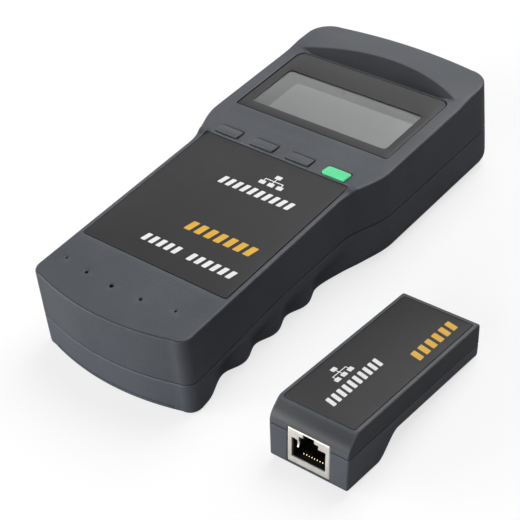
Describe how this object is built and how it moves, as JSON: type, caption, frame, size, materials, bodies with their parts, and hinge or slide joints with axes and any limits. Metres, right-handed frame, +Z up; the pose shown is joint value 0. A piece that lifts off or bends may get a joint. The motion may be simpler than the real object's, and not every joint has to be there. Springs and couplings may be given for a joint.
{
  "type": "network cable tester",
  "caption": "Handheld network cable tester with a display head, press keys, sliding battery cover and modular jacks, next to its small remote unit.",
  "frame": {"origin": "on the flat back of the main unit, on its centre line, near the middle of its length", "axes": "+Z up out of the front of the main unit, +Y towards the display head, +X to the right, towards the remote unit"},
  "size_m": [0.1355, 0.179, 0.0361],
  "materials": {
    "slate_housing": "fine satin texture",
    "dark_overlay": "matte printed film",
    "bezel_plastic": "satin",
    "clear_window": "clear",
    "lcd_glass": "grey-green",
    "light_guide": "milky",
    "black_plastic": "satin",
    "elastomer": "matte",
    "circuit_board": "solder mask",
    "slate_key": "satin",
    "green_key": "satin",
    "ivory_plastic": "satin",
    "tin_plate": "bright",
    "nickel_plate": "bright nickel",
    "gold_contact": "gold flash",
    "cell_jacket": "printed sleeve",
    "wire_insulation": "pvc",
    "zinc_steel": "zinc plated"
  },
  "bodies": {
    "tester": {"front_shell": "slate_housing", "back_shell": "slate_housing", "handle_faceplate": "dark_overlay", "display_bezel": "bezel_plastic", "display_lens": "clear_window", "lcd_glass": "lcd_glass", "lcd_backlight": "light_guide", "lcd_holder": "black_plastic", "zebra_strip": "elastomer", "main_board": "circuit_board", "board_chips": "black_plastic", "tact_switches": "tin_plate", "buzzer": "black_plastic", "main_jack_shield": "nickel_plate", "main_jack_insert": "black_plastic", "main_jack_contacts": "gold_contact", "loop_jack_shield": "nickel_plate", "loop_jack_insert": "black_plastic", "loop_jack_contacts": "gold_contact", "battery_cells": "cell_jacket", "battery_springs": "nickel_plate", "battery_contacts": "nickel_plate", "battery_wires": "wire_insulation", "case_screws": "zinc_steel", "board_screws": "zinc_steel"},
    "battery_door": {"battery_door": "slate_housing"},
    "remote": {"remote_top_shell": "slate_housing", "remote_bottom_shell": "slate_housing", "remote_faceplate": "dark_overlay", "remote_board": "circuit_board", "remote_chips": "black_plastic", "remote_jack_shield": "nickel_plate", "remote_jack_insert": "black_plastic", "remote_jack_contacts": "gold_contact", "remote_screws": "zinc_steel"},
    "key_power": {"key_power": "slate_key", "plunger_power": "ivory_plastic"},
    "key_up": {"key_up": "slate_key", "plunger_up": "ivory_plastic"},
    "key_down": {"key_down": "slate_key", "plunger_down": "ivory_plastic"},
    "key_enter": {"key_enter": "green_key", "plunger_enter": "ivory_plastic"}
  },
  "joints": [
    {"name": "battery_door_slide", "type": "slide", "parent": "tester", "child": "battery_door", "axis": [0, -1, 0], "range_m": [0, 0.07]},
    {"name": "key_power_press", "type": "slide", "parent": "tester", "child": "key_power", "axis": [0, 0, -1], "range_m": [0, 0.0006], "stiffness_N_per_m": 2500},
    {"name": "key_up_press", "type": "slide", "parent": "tester", "child": "key_up", "axis": [0, 0, -1], "range_m": [0, 0.0006], "stiffness_N_per_m": 2500},
    {"name": "key_down_press", "type": "slide", "parent": "tester", "child": "key_down", "axis": [0, 0, -1], "range_m": [0, 0.0006], "stiffness_N_per_m": 2500},
    {"name": "key_enter_press", "type": "slide", "parent": "tester", "child": "key_enter", "axis": [0, 0, -1], "range_m": [0, 0.0006], "stiffness_N_per_m": 2500},
    {"name": "remote_lift", "type": "slide", "parent": "tester", "child": "remote", "axis": [0, 0, 1], "range_m": [0, 0.06]}
  ]
}
